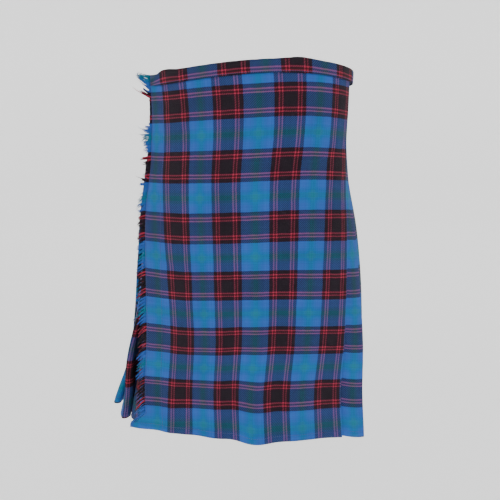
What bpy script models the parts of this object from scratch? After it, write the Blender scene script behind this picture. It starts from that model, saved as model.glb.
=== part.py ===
"""A wrap kilt, filled out as it is when worn, with nobody in it.

Checked wool goes once and a half round the waist: an over apron whose free
edge is frayed into a fringe, knife pleats round the back in three joined
widths, and an under apron that ends inside. A folded waistband is sewn along
the top of them all.

Metres, +Z up. The origin is the middle of the waist opening, level with the
middle of the waistband at the hips. The over apron faces -Y, and its fringed
edge is on the -X side, which is the wearer's right.

Every piece of cloth follows one outline, the ring, which changes with the
drop below the waistband's top edge. A point of a piece is given as
    along   the way round the ring, from the middle of the over apron to +X
    inset   how far inside the ring it lies
    drop    how far below the top edge it hangs
"""

import math
from collections import namedtuple

import bmesh
import bpy
import numpy as np

# ---------------------------------------------------------------- sizes
LENGTH = 0.603  # top edge of the waistband to the hem
BAND_HEIGHT = 0.0195
TOP_AT = 0.011  # height of the top edge over the waist, at the sides
SEAM_GAP = 0.0004
CLOTH = 0.0015  # wall of the two aprons
PLEAT_CLOTH = 0.0012  # pressed flatter in the pleats

REPEAT = 0.0929  # of the check
APRON_WIDTH = 4 * REPEAT
HALF = APRON_WIDTH / 2
APRON_COLUMNS = 30
APRON_STEP = APRON_WIDTH / APRON_COLUMNS
TURN_UNDER = 2 * APRON_STEP  # the right edge of the over apron is folded under
TURN_GAP = 0.0021  # between the middles of the two layers of that fold

PLEATS = 21
WIDTHS = 3  # lengths of cloth that the pleats are made from
FELL = 0.170  # the pleats are stitched down to this drop, and open below it
PLEAT_INSET = 0.005  # the pleats lie under both edges of the over apron
LAYER_GAP = 0.0019  # between the middles of two layers at a pressed fold
FOLD_NOSE = 0.0009  # how far a fold reaches past its two layers
FIRST_TURN = APRON_STEP  # the first pleat turns so far in from the turned edge
LAST_LAP = APRON_STEP  # the last pleat's fold reaches so far under the over apron
FIRST_SWING = 0.013  # the first pleat swings out so far past the ring at the hem
FIRST_NARROWER = 0.010  # and its fold stays so much nearer to the apron's edge
PLEAT_SWAY = 0.0030  # uneven hang of the folds at the hem
PLEAT_LIFT = 0.0015
FACE_CROWN = 0.10  # how far a face bulges at the hem, as a share of its slope
FACE = 4  # points across a face
LAST_FACE = 7

UNDER_WIDTH = 0.335
UNDER_LAP = 0.003  # the under apron starts this far behind the last pleat
UNDER_GAP = 0.0008  # from the last pleat's inner layer
UNDER_CLEAR = 0.004  # how much further in it hangs at the hem
UNDER_EASE = 0.08  # length over which it moves in
UNDER_SHORTER = 0.006  # so that its hem doesn't show

FRONT_RISE = 0.0197  # the top edge stands higher in front than at the hips
FRONT_RISE_ANGLE = math.radians(17)
BACK_RISE = 0.008
SAG_PLUS_X = 0.046  # at the hem each side hangs lower by this much
SAG_MINUS_X = 0.017

BAND_OVER_APRON = (0.00075, 0.0042)  # inset of its middle, and thickness
BAND_OVER_PLEATS = 0.0030  # thicker than the pleats below it
BAND_OVER_UNDER = 0.0040
BAND_EASE = 0.070  # length over which the thickness changes
BAND_THICKENS_AFTER = 0.004  # past the over apron's right edge
BAND_THINS_BEFORE = 0.075  # its left edge comes round again
BAND_ROUNDING = 0.0009

FRINGE_LOCKS = 130
FRINGE_MARGIN = 0.002  # from the waistband's top edge and from the hem
FRINGE_STRIP = 0.004  # unravelled edge that the locks hang from
FRINGE_LENGTH = 0.017
FRINGE_DROOP = 0.0055
FRINGE_FLARE = 0.55  # outward, as a share of its length
LOCK_SHARE = 0.60  # of each lock's pitch; the rest is the space to the next
LOCK_TIP = 0.5
WORN_ABOVE = 0.12  # higher up, more of the locks are worn short
WORN_EASE = 0.10
WORN = 0.4

# The ring at each drop: its half widths to +X (right) and to -X (left), its
# half depths, how much it is turned (skew) and where the over apron's middle
# hangs. Then how the pleats lie: the depth of a fold, the depth of all their
# layers, and how much of the last pleat shows beside the fringed edge.
Level = namedtuple("Level", "drop right left front back skew middle fold_depth stack shown")
LEVELS = (
    Level(0.000, 0.1685, 0.1830, 0.1330, 0.117, -0.180, -0.011, 0.022, 0.0078, 0.013),
    Level(0.055, 0.1675, 0.1840, 0.1350, 0.121, -0.188, -0.008, 0.023, 0.0088, 0.013),
    Level(0.110, 0.1675, 0.1885, 0.1395, 0.128, -0.190, -0.009, 0.024, 0.0106, 0.014),
    Level(0.170, 0.1750, 0.1990, 0.1465, 0.136, -0.182, -0.014, 0.024, 0.0122, 0.017),
    Level(0.250, 0.1930, 0.2130, 0.1555, 0.146, -0.162, -0.015, 0.024, 0.0135, 0.022),
    Level(0.340, 0.2080, 0.2240, 0.1625, 0.155, -0.137, -0.014, 0.024, 0.0160, 0.031),
    Level(0.430, 0.2180, 0.2335, 0.1690, 0.164, -0.104, -0.014, 0.023, 0.0180, 0.042),
    Level(0.520, 0.2245, 0.2490, 0.1780, 0.173, -0.065, -0.017, 0.022, 0.0205, 0.055),
    Level(LENGTH, 0.2325, 0.2760, 0.1940, 0.181, -0.018, -0.010, 0.021, 0.0230, 0.068),
)

# Soft folds of the hanging cloth: angle round the ring (0 is the front, + to
# +X), reach to each side, how far the hem swings out, and where it starts.
Fold = namedtuple("Fold", "angle reach swing start")
FOLDS = (
    Fold(-62, 10, 0.009, 0.30),
    Fold(-38, 8, -0.012, 0.26),
    Fold(-29, 5, -0.006, 0.34),
    Fold(-20, 9, -0.010, 0.22),
    Fold(-6, 6, -0.003, 0.36),
    Fold(4, 7, 0.010, 0.20),
    Fold(17, 6, 0.007, 0.34),
    Fold(29, 7, 0.001, 0.30),
    Fold(39, 7, 0.001, 0.28),
    Fold(54, 14, 0.016, 0.22),
)

ROWS = (0.065, 0.120, 0.170, 0.220, 0.285, 0.360, 0.440, 0.520)  # drops at which cloth bends
UNDER_COLUMNS = 18
BAND_STEP = 0.0150
RING_SAMPLES = 1440


def at_drop(name, drop):
    """One column of LEVELS at any drop, along a smooth curve through its rows."""
    rows = np.array([level.drop for level in LEVELS])
    values = np.array([getattr(level, name) for level in LEVELS])
    slopes = np.gradient(values, rows)
    low = int(np.clip(np.searchsorted(rows, drop) - 1, 0, len(rows) - 2))
    span = rows[low + 1] - rows[low]
    t = (drop - rows[low]) / span
    return float(
        (2 * t**3 - 3 * t**2 + 1) * values[low]
        + (t**3 - 2 * t**2 + t) * span * slopes[low]
        + (3 * t**2 - 2 * t**3) * values[low + 1]
        + (t**3 - t**2) * span * slopes[low + 1]
    )


def ease(t):
    """0 before 0, 1 after 1, and a smooth step between."""
    t = np.clip(t, 0.0, 1.0)
    return t * t * (3 - 2 * t)


def share_open(drop):
    """How far the pleats have opened: 0 down to the fell, 1 at the hem."""
    return ease((drop - FELL) / (LENGTH - FELL))


class Ring:
    """The outline that the cloth follows at one drop."""

    def __init__(self, drop):
        angle = np.linspace(-math.pi, math.pi, RING_SAMPLES + 1)
        right, left, front, back = (at_drop(n, drop) for n in ("right", "left", "front", "back"))
        sine, cosine = np.sin(angle), np.cos(angle)
        swing = self.swing_of_folds(angle, drop)
        x = (np.where(sine > 0, right, left) + swing) * sine
        y = -(np.where(cosine > 0, front, back) + swing) * cosine + at_drop("skew", drop) * x
        length = np.concatenate([[0], np.cumsum(np.hypot(np.diff(x), np.diff(y)))])
        in_front = np.abs(angle) < math.pi / 2
        middle = np.interp(at_drop("middle", drop), x[in_front], length[in_front])
        tangent_x = np.gradient(x, length)
        tangent_y = np.gradient(y, length)
        size = np.hypot(tangent_x, tangent_y)
        self.drop = drop
        self.total = float(length[-1])
        self.along = length - middle
        self.x, self.y = x, y
        self.out_x, self.out_y = tangent_y / size, -tangent_x / size
        self.hang = self.top_of(angle) - drop - self.sag_of(angle, drop)

    @staticmethod
    def swing_of_folds(angle, drop):
        swing = np.zeros_like(angle)
        for fold in FOLDS:
            grown = ease((drop - fold.start) / (LENGTH - fold.start))
            away = (np.degrees(angle) - fold.angle) / fold.reach
            swing += fold.swing * grown * np.exp(-(away**2))
        return swing

    @staticmethod
    def top_of(angle):
        front = np.maximum(0, np.cos(angle - FRONT_RISE_ANGLE)) ** 2
        back = np.maximum(0, -np.cos(angle)) ** 2
        return TOP_AT + FRONT_RISE * front + BACK_RISE * back

    @staticmethod
    def sag_of(angle, drop):
        side = np.where(angle > 0, SAG_PLUS_X, SAG_MINUS_X)
        return side * np.sin(angle) ** 2 * (drop / LENGTH) ** 2

    def place(self, along, inset):
        """The point that lies so far along the ring and inside it."""
        low = self.along[0]
        at = (along - low) % self.total + low
        columns = (self.x, self.y, self.out_x, self.out_y, self.hang)
        x, y, out_x, out_y, z = (np.interp(at, self.along, column) for column in columns)
        return (float(x - out_x * inset), float(y - out_y * inset), float(z))

    def last_fold(self):
        """Where the last pleat's fold lies, counted on round the back."""
        return self.total - HALF + LAST_LAP

    def under_end(self):
        start = self.last_fold() - at_drop("fold_depth", self.drop) - UNDER_LAP
        return start + UNDER_WIDTH


# ---------------------------------------------------------------- building
def clear_scene():
    for obj in list(bpy.data.objects):
        bpy.data.objects.remove(obj)


def cloth_material(name, colour, roughness=0.9):
    """Colour is linear red, green and blue."""
    material = bpy.data.materials.new(name)
    material.use_nodes = True
    shader = material.node_tree.nodes["Principled BSDF"]
    shader.inputs["Base Color"].default_value = (*colour, 1.0)
    shader.inputs["Roughness"].default_value = roughness
    shader.inputs["Metallic"].default_value = 0.0
    return material


def add_object(name, mesh, material, collection):
    obj = bpy.data.objects.new(name, mesh)
    obj.data.materials.append(material)
    collection.objects.link(obj)
    mesh.shade_smooth()
    mesh.set_sharp_from_angle(angle=math.radians(50))
    return obj


def mesh_from(bm, name):
    mesh = bpy.data.meshes.new(name)
    bm.to_mesh(mesh)
    bm.free()
    return mesh


def cloth_sheet(name, rows, thickness, material, collection):
    """Rows of points, from the top edge to the hem, joined into a sheet that Solidify makes a wall."""
    bm = bmesh.new()
    grid = [[bm.verts.new(point) for point in row] for row in rows]
    for upper, lower in zip(grid, grid[1:]):
        for i in range(len(upper) - 1):
            bm.faces.new((upper[i], lower[i], lower[i + 1], upper[i + 1]))
    obj = add_object(name, mesh_from(bm, name), material, collection)
    wall = obj.modifiers.new("Wall", "SOLIDIFY")
    wall.thickness = thickness
    wall.offset = 0.0
    wall.use_even_offset = True
    return obj


def rings_down_to(hem):
    return [Ring(drop) for drop in (BAND_HEIGHT + SEAM_GAP, *ROWS, hem)]


# ---------------------------------------------------------------- aprons
def over_apron_row(ring):
    """From the fringed edge to the right edge, which is folded under."""
    middle = CLOTH / 2
    row = [ring.place(s, middle) for s in np.linspace(-HALF, HALF, APRON_COLUMNS + 1)]
    row.append(ring.place(HALF + FOLD_NOSE, middle + TURN_GAP / 2))
    for s in (HALF, HALF - APRON_STEP, HALF - TURN_UNDER):
        row.append(ring.place(s, middle + TURN_GAP))
    return row


def over_apron(material, collection):
    rows = [over_apron_row(ring) for ring in rings_down_to(LENGTH)]
    return cloth_sheet("over_apron", rows, CLOTH, material, collection)


def under_apron_row(ring):
    """Straight on from the last pleat, under the over apron, towards +X."""
    fold = ring.last_fold()
    depth = at_drop("fold_depth", ring.drop)
    start = fold - depth - UNDER_LAP
    slope = (at_drop("stack", ring.drop) - 2 * LAYER_GAP) / depth
    behind = (PLEAT_CLOTH + CLOTH) / 2 * math.hypot(1, slope) + UNDER_GAP
    shallow = PLEAT_INSET + PLEAT_CLOTH / 2 + LAYER_GAP + behind
    deep = shallow + slope * depth
    clear = shallow + UNDER_CLEAR * ring.drop / LENGTH
    row = [
        ring.place(start, deep),
        ring.place(fold - depth, deep),
        ring.place(fold, shallow),
    ]
    for s in np.linspace(fold, ring.under_end(), UNDER_COLUMNS + 1)[1:]:
        row.append(ring.place(s, shallow + (clear - shallow) * ease((s - fold) / UNDER_EASE)))
    return row


def under_apron(material, collection):
    rows = [under_apron_row(ring) for ring in rings_down_to(LENGTH - UNDER_SHORTER)]
    return cloth_sheet("under_apron", rows, CLOTH, material, collection)


# ---------------------------------------------------------------- pleats
def fold_lines(ring):
    """Where the pleats' folds lie along the ring. The last one has its own place."""
    opened = share_open(ring.drop)
    pitch = (ring.total - APRON_WIDTH - at_drop("shown", ring.drop)) / (PLEATS - 1)
    lines = [HALF + k * pitch + PLEAT_SWAY * math.sin(2.4 * k) * opened for k in range(PLEATS)]
    lines[1] -= FIRST_NARROWER * opened
    return [*lines, ring.last_fold()]


def pleat_row(ring, first, last):
    """Knife pleats first to last, each a face that runs out to its fold and a
    return that runs back under it. Each lies over the one that follows it."""
    depth = at_drop("fold_depth", ring.drop)
    stack = at_drop("stack", ring.drop)
    opened = share_open(ring.drop)
    folds = fold_lines(ring)
    surface = PLEAT_INSET + PLEAT_CLOTH / 2
    innermost = surface + stack
    row = []
    for k in range(first, last + 1):
        lift = PLEAT_LIFT * (1 + math.sin(3.7 * k)) if k < PLEATS else 0.0
        outer = surface + (lift if k > 1 else -FIRST_SWING) * opened
        if k == 1:
            root, start = HALF - TURN_UNDER - FIRST_TURN, surface
            turned = CLOTH / 2 + TURN_GAP
            row += [(root + FIRST_TURN - SEAM_GAP, turned), (root, turned)]
            face = [*np.linspace(root, HALF, 4), (HALF + folds[k]) / 2, folds[k]]
            leaves_ring = HALF
        else:
            root, start = folds[k - 1] - depth, innermost
            face = np.linspace(root, folds[k], LAST_FACE if k == PLEATS else FACE)
            leaves_ring = root
        if k == 1 or k > first:
            row.append((root - FOLD_NOSE, start - LAYER_GAP / 2))
        for s in face:
            share = max(0.0, s - leaves_ring) / (folds[k] - leaves_ring)
            crown = FACE_CROWN * (start - outer) * math.sin(math.pi * share) * opened
            row.append((s, start + (outer - start) * share - crown))
        row.append((folds[k] + FOLD_NOSE, outer + LAYER_GAP / 2))
        row.append((folds[k], outer + LAYER_GAP))
        row.append((folds[k] - depth, innermost - LAYER_GAP))
    return [ring.place(*point) for point in row]


def pleats(material, collection):
    rings = rings_down_to(LENGTH)
    in_each = PLEATS // WIDTHS
    for width, side in enumerate(("left_hip", "back", "right_hip")):
        first = width * in_each + 1
        rows = [pleat_row(ring, first, first + in_each - 1) for ring in rings]
        cloth_sheet(f"pleats_{side}", rows, PLEAT_CLOTH, material, collection)


# ---------------------------------------------------------------- waistband
def band_section(top, bottom, along, inset, thick):
    """A rounded upright oblong, as points going round it. The two places are
    the same spot on the ring at the band's top and at its bottom."""
    outer, inner = inset - thick / 2, inset + thick / 2
    r = BAND_ROUNDING
    h = BAND_HEIGHT
    outline = (
        (r, outer), (h - r, outer), (h, outer + r), (h, inner - r),
        (h - r, inner), (r, inner), (0.0, inner - r), (0.0, outer + r),
    )
    points = []
    for drop, at in outline:
        x0, y0, z0 = top.place(along[0], at)
        x1, y1, _ = bottom.place(along[1], at)
        share = drop / h
        points.append((x0 + (x1 - x0) * share, y0 + (y1 - y0) * share, z0 - drop))
    return points


def waistband(material, collection):
    """One folded strip: over the over apron, the pleats and then the under apron."""
    top, bottom = Ring(0.0), Ring(BAND_HEIGHT)
    stack = at_drop("stack", 0.0)
    in_front = BAND_OVER_APRON
    over_pleats = (PLEAT_INSET + PLEAT_CLOTH / 2 + stack / 2, stack + BAND_OVER_PLEATS)
    over_under = (PLEAT_INSET + PLEAT_CLOTH + LAYER_GAP + CLOTH / 2 + UNDER_GAP, BAND_OVER_UNDER)
    left_edge = top.total - HALF
    stages = [np.linspace(-HALF, HALF, APRON_COLUMNS + 1)]
    for here, there in ((HALF, left_edge), (left_edge, top.under_end())):
        count = round((there - here) / BAND_STEP)
        stages.append(np.linspace(here, there, count + 1)[1:])
    sections = []
    for s in np.concatenate(stages):
        behind = ease((s - HALF - BAND_THICKENS_AFTER) / BAND_EASE)
        beyond = ease((s - left_edge + BAND_THINS_BEFORE) / BAND_EASE)
        inset, thick = (
            a + (b - a) * behind + (c - b) * beyond for a, b, c in zip(in_front, over_pleats, over_under)
        )
        round_back = np.clip((s - HALF) / (top.total - APRON_WIDTH), 0.0, 1.0)
        along = (s, s + (bottom.total - top.total) * round_back)
        sections.append(band_section(top, bottom, along, inset, thick))
    bm = bmesh.new()
    loops = [[bm.verts.new(point) for point in section] for section in sections]
    count = len(loops[0])
    for here, there in zip(loops, loops[1:]):
        for i in range(count):
            j = (i + 1) % count
            bm.faces.new((here[i], here[j], there[j], there[i]))
    bm.faces.new(reversed(loops[0]))
    bm.faces.new(loops[-1])
    bmesh.ops.recalc_face_normals(bm, faces=bm.faces)
    return add_object("waistband", mesh_from(bm, "waistband"), material, collection)


# ---------------------------------------------------------------- fringe
def fringe(material, collection):
    """A narrow unravelled strip along the apron's free edge. Every other face
    of its free side is drawn out into a lock of yarn that droops."""
    top, hem = FRINGE_MARGIN, LENGTH - FRINGE_MARGIN
    pitch = (hem - top) / (FRINGE_LOCKS - 1 + LOCK_SHARE)
    near = -HALF - SEAM_GAP
    far = near - FRINGE_STRIP
    bm = bmesh.new()
    levels = []
    for k in range(FRINGE_LOCKS):
        for drop in (top + k * pitch, top + (k + LOCK_SHARE) * pitch):
            ring = Ring(drop)
            corners = ((near, 0.0), (far, 0.0), (far, CLOTH), (near, CLOTH))
            levels.append([bm.verts.new(ring.place(s, inset)) for s, inset in corners])
    roots = []
    for index, (upper, lower) in enumerate(zip(levels, levels[1:])):
        for i in range(4):
            j = (i + 1) % 4
            face = bm.faces.new((upper[i], upper[j], lower[j], lower[i]))
            if i == 1 and index % 2 == 0:
                across = (upper[1].co - upper[2].co).normalized()
                roots.append((face, across))
    bm.faces.new(reversed(levels[0]))
    bm.faces.new(levels[-1])
    bmesh.ops.recalc_face_normals(bm, faces=bm.faces)
    for k, (root, outward) in enumerate(roots):
        drop = top + k * pitch
        worn = WORN * (1 - ease((drop - WORN_ABOVE) / WORN_EASE))
        uneven = 1 + 0.20 * math.sin(2.9 * k) + 0.14 * math.sin(1.3 * k + 1)
        length = FRINGE_LENGTH * uneven * (1 - worn * (1 + math.sin(0.9 * k)) / 2)
        droop = FRINGE_DROOP * (1 + 0.4 * math.sin(0.31 * k)) * length / FRINGE_LENGTH
        away = (root.normal + outward * FRINGE_FLARE).normalized()
        tip = bmesh.ops.extrude_discrete_faces(bm, faces=[root])["faces"][0]
        middle = tip.calc_center_median()
        for vert in tip.verts:
            vert.co = middle + (vert.co - middle) * LOCK_TIP + away * length
            vert.co.z -= droop
    return add_object("fringe", mesh_from(bm, "fringe"), material, collection)


def main():
    clear_scene()
    kilt = bpy.data.collections.new("kilt")
    bpy.context.scene.collection.children.link(kilt)
    blue_check = cloth_material("blue_check_wool", (0.055, 0.16, 0.42))
    dark_check = cloth_material("dark_check_wool", (0.045, 0.045, 0.12))
    yarn = cloth_material("frayed_yarn", (0.05, 0.20, 0.40), roughness=0.95)
    over_apron(blue_check, kilt)
    under_apron(blue_check, kilt)
    pleats(blue_check, kilt)
    waistband(dark_check, kilt)
    fringe(yarn, kilt)


main()
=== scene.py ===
"""A Scottish wrap kilt of checked wool twill, filled out as it is when worn.

The cloth goes once and a half round the waist: an under apron inside, knife
pleats round the back in three joined widths, and an over apron in front whose
free edge is frayed into a fringe. A folded waistband holds them along the top.
"""

import math
from collections import namedtuple

import bmesh
import bpy
import numpy as np
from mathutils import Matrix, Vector


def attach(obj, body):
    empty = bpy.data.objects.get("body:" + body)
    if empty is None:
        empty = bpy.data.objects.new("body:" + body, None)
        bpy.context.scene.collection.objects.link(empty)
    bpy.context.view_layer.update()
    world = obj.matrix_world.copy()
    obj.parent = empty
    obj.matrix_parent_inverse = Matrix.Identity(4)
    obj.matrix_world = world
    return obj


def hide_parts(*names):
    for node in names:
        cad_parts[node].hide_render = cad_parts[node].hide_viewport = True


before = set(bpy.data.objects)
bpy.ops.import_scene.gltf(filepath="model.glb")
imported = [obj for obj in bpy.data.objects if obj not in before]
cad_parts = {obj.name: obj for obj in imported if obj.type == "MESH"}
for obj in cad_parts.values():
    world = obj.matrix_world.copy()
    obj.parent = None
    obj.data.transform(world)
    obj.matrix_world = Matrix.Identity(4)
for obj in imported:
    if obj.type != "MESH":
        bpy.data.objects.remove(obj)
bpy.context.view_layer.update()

# ------------------------------------------------------------------ over apron
# The flat front of the kilt: one width of 2/2 wool twill that hangs over the
# wearer's lap. Its right edge is turned under, its hem is turned up and
# machined, and its left edge is left raw, stitched, and frayed to a fringe.
LENGTH = 0.603  # top edge of the waistband to the hem
BAND_HEIGHT = 0.0195
TOP_AT = 0.011  # height of the top edge over the waist, at the sides
TUCKED_IN = 0.001  # the raw tops reach this far up into the waistband's fold
REPEAT = 0.0929  # of the check, both ways
APRON_WIDTH = 4 * REPEAT
HALF = APRON_WIDTH / 2
CLOTH = 0.0015
APRON_COLUMNS, TURN_COLUMNS = 120, 8
TURN_UNDER = TURN_COLUMNS * APRON_WIDTH / APRON_COLUMNS
TURN_GAP = 0.0021  # between the middles of the two layers
TURN_ROUND = 0.0033  # of cloth, goes round the turned-under edge
TURN_ROUND_ROWS = (0.0007, 0.0026)  # and its points lie between these
HEM_DEPTH = 0.012
HEM_PROUD = 0.0004  # the turned-up hem makes the cloth this much thicker
HEM_EDGE = 0.0006  # one row of points lies this far above the hem's upper edge, and one below
HEM_HIDES, HEM_HIDES_FROM, HEM_HIDES_OVER = 0.010, 0.530, 0.080  # of the length, where it curves under
ROW_STEP = 0.0045
OUTLINE_POINTS = 1441
FRONT_RISES, FRONT_RISES_AT = 0.0197, 17  # the top edge is highest in front, so many degrees to +X
BACK_RISES = 0.008

# The outline of the cloth at each drop below the top edge: half widths to +X
# and to -X, half depths, how much it is turned, where the over apron's middle
# hangs, and how the pleats lie under it.
Level = namedtuple("Level", "drop right left front back skew middle fold_depth stack shown")
LEVELS = (
    Level(0.000, 0.1685, 0.1830, 0.1330, 0.117, -0.180, -0.011, 0.022, 0.0078, 0.013),
    Level(0.055, 0.1675, 0.1840, 0.1350, 0.121, -0.188, -0.008, 0.023, 0.0088, 0.013),
    Level(0.110, 0.1675, 0.1885, 0.1395, 0.128, -0.190, -0.009, 0.024, 0.0106, 0.014),
    Level(0.170, 0.1750, 0.1990, 0.1465, 0.136, -0.182, -0.014, 0.024, 0.0122, 0.017),
    Level(0.250, 0.1930, 0.2130, 0.1555, 0.146, -0.162, -0.015, 0.024, 0.0135, 0.022),
    Level(0.340, 0.2080, 0.2240, 0.1625, 0.155, -0.137, -0.014, 0.024, 0.0160, 0.031),
    Level(0.430, 0.2180, 0.2335, 0.1690, 0.164, -0.104, -0.014, 0.023, 0.0180, 0.042),
    Level(0.520, 0.2245, 0.2490, 0.1780, 0.173, -0.065, -0.017, 0.022, 0.0205, 0.055),
    Level(LENGTH, 0.2325, 0.2760, 0.1940, 0.181, -0.018, -0.010, 0.021, 0.0230, 0.068),
)
# Soft folds of the skirt: angle round the outline (0 is the front, + to +X),
# reach to each side, how far the hem swings out there, and the drop it starts at.
Fold = namedtuple("Fold", "angle reach swing start")
FOLDS = (
    Fold(-62, 10, 0.009, 0.30),
    Fold(-38, 8, -0.012, 0.26),
    Fold(-29, 5, -0.006, 0.34),
    Fold(-20, 9, -0.010, 0.22),
    Fold(-6, 6, -0.003, 0.36),
    Fold(4, 7, 0.010, 0.20),
    Fold(17, 6, 0.007, 0.34),
    Fold(29, 7, 0.001, 0.30),
    Fold(39, 7, 0.001, 0.28),
    Fold(54, 14, 0.016, 0.22),
)
# Creases laid over those folds. Each runs from one point to another,
# given as along the outline and drop, is this wide, and this high (or deep).
Crease = namedtuple("Crease", "along drop to_along to_drop width height")
CREASE_FADES_OVER = 0.05  # past its ends
CREASES = (
    Crease(0.012, 0.600, 0.050, 0.400, 0.020, 0.0030),
    Crease(-0.026, 0.600, 0.000, 0.420, 0.017, -0.0018),
    Crease(0.080, 0.600, 0.095, 0.450, 0.018, -0.0022),
    Crease(0.118, 0.600, 0.120, 0.330, 0.020, 0.0020),
    Crease(-0.092, 0.600, -0.078, 0.380, 0.019, -0.0022),
    Crease(-0.135, 0.600, -0.128, 0.340, 0.020, 0.0020),
    Crease(0.185, 0.115, 0.095, 0.165, 0.011, -0.0012),
    Crease(0.185, 0.145, 0.110, 0.205, 0.011, 0.0010),
    Crease(-0.180, 0.060, -0.060, 0.090, 0.010, 0.0009),
    Crease(0.020, 0.070, 0.120, 0.050, 0.010, -0.0008),
    Crease(-0.060, 0.250, 0.060, 0.275, 0.012, 0.0010),
    Crease(0.040, 0.330, 0.160, 0.300, 0.013, -0.0010),
    Crease(-0.170, 0.300, -0.080, 0.330, 0.012, -0.0009),
    Crease(0.260, 0.590, 0.250, 0.330, 0.022, 0.0020),
    Crease(0.360, 0.590, 0.365, 0.300, 0.024, -0.0020),
    Crease(0.455, 0.590, 0.440, 0.340, 0.022, 0.0022),
    Crease(0.550, 0.590, 0.560, 0.280, 0.024, -0.0018),
    Crease(-0.270, 0.590, -0.262, 0.320, 0.021, -0.0020),
    Crease(-0.365, 0.590, -0.350, 0.350, 0.024, 0.0022),
    Crease(-0.470, 0.590, -0.480, 0.300, 0.023, -0.0020),
)
# Wear has pulled the check off the straight: at each drop, millimetres across or
# down at these places from the fringed edge to the folded one.
PULL_ALONG = (-0.186, -0.145, -0.096, -0.050, 0.022, 0.115, 0.186)
PULLED_ACROSS = (
    (0.050, 12, 11, 2, 3, 1, 0, -1),
    (0.150, 10, 9, -2, 1, 0, 2, 0),
    (0.250, 4, 3, -5, -2, -1, 3, 3),
    (0.350, 0, -3, -7, -2, -1, 5, 7),
    (0.480, -2, -6, -8, -3, 1, 7, 8),
    (LENGTH, 2, 2, 1, 4, 9, 12, 4),
)
PULLED_DOWN = (
    (0.050, 4, 3, 2, 1, 0, 3, 5),
    (0.150, 0, 0, 0, -1, -1, 2, 4),
    (0.250, -5, -5, -5, -4, -2, 1, 2),
    (0.350, -8, -8, -7, -5, -1, -1, 0),
    (0.480, -13, -12, -11, -8, 0, -1, 0),
    (LENGTH, -12, -12, -8, -5, -5, -6, -3),
)
PULL_FADES_OVER = 0.035  # past the over apron's edges
# The raw edge at each drop: how much further out the threads are still woven,
# and how far it curls off the outline. The folded hem is woven out to a corner.
RAW_EDGE = (
    (0.000, 0.000, 0.003),
    (0.060, 0.003, 0.002),
    (0.110, 0.008, 0.001),
    (0.150, 0.005, 0.001),
    (0.210, 0.007, 0.004),
    (0.340, 0.005, 0.004),
    (0.480, 0.002, 0.001),
    (LENGTH, 0.003, 0.000),
)
CURL_REACH = 0.014  # in from the raw edge
CORNER_OUT, CORNER_FROM, CORNER_DEEP = 0.034, 0.574, 0.024
# The right edge is folded a little further in lower down, where the check slants.
FOLDED_IN_DROPS = (0.0, 0.20, 0.30, 0.39, 0.49, LENGTH)
FOLDED_IN = (0.0, 0.001, 0.0045, 0.0075, 0.006, 0.004)
SAG_PLUS_X, SAG_MINUS_X = 0.046, 0.017  # the hem hangs so much lower at the sides


def ease(t):
    """0 before 0, 1 after 1, and a smooth step between."""
    t = np.clip(t, 0.0, 1.0)
    return t * t * (3 - 2 * t)


def curve(at, knots, values):
    """A smooth curve through the values at the knots."""
    knots, values = np.array(knots), np.array(values)
    slopes = np.gradient(values, knots)
    low = np.clip(np.searchsorted(knots, at) - 1, 0, len(knots) - 2)
    span = knots[low + 1] - knots[low]
    t = (at - knots[low]) / span
    return (
        (2 * t**3 - 3 * t**2 + 1) * values[low]
        + (t**3 - 2 * t**2 + t) * span * slopes[low]
        + (3 * t**2 - 2 * t**3) * values[low + 1]
        + (t**3 - t**2) * span * slopes[low + 1]
    )


def at_drop(name, drop):
    """One column of LEVELS at any drop."""
    values = [getattr(level, name) for level in LEVELS]
    return float(curve(drop, [level.drop for level in LEVELS], values))


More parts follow.
